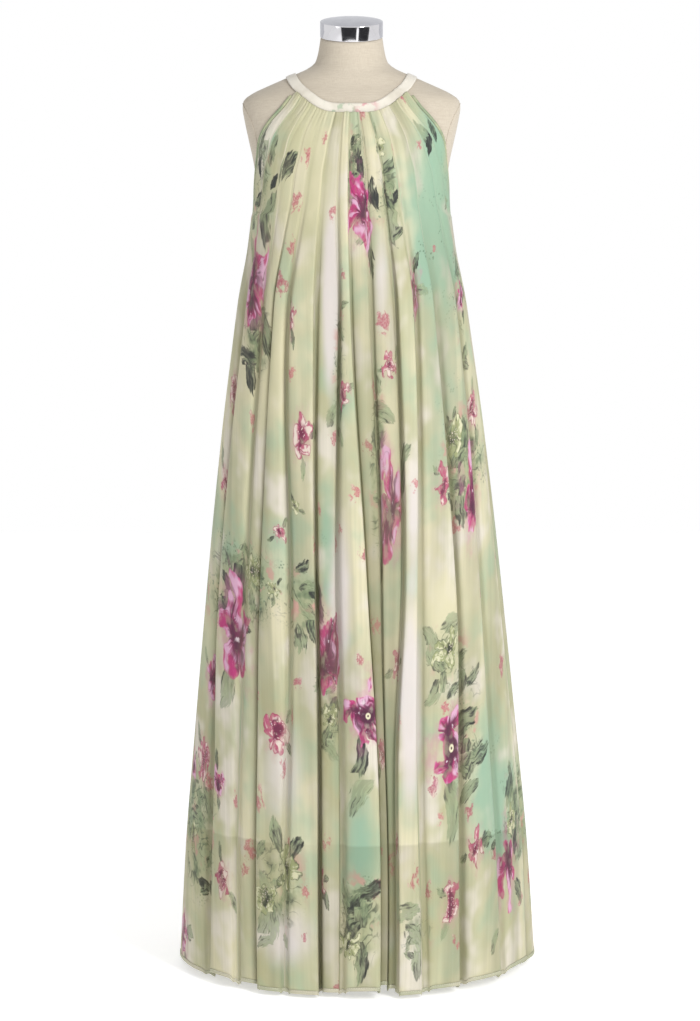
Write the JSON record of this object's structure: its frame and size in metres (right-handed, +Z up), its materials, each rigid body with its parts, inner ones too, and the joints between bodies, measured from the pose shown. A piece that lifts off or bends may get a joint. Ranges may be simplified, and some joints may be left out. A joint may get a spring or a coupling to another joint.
{
  "type": "maxi dress on a dress form",
  "caption": "Sleeveless maxi dress of printed chiffon, gathered into a round neckband and hanging in loose folds to the floor, on a limbless dress form with a capped neck and a disc base.",
  "frame": {"origin": "middle of the underside of the stand's round base, on the floor", "axes": "+Z up; the front of the dress faces -Y; the wearer's left is at +X"},
  "size_m": [0.5993, 0.5138, 1.5945],
  "materials": {
    "print_chiffon": "sheer printed chiffon, soft, matt",
    "lining": "plain pale lining, matt",
    "neckband_satin": "off-white satin, soft sheen",
    "form_linen": "plain beige linen, matt",
    "cap_chrome": "polished",
    "stand_steel": "brushed"
  },
  "bodies": {
    "root": {"dress_front": "print_chiffon", "dress_back": "print_chiffon", "lining_front": "lining", "lining_back": "lining", "neckband": "neckband_satin", "armhole_binding_left": "print_chiffon", "armhole_binding_right": "print_chiffon", "form_torso": "form_linen", "neck_cap": "cap_chrome", "stand_pole": "stand_steel", "stand_base": "stand_steel"}
  },
  "joints": []
}
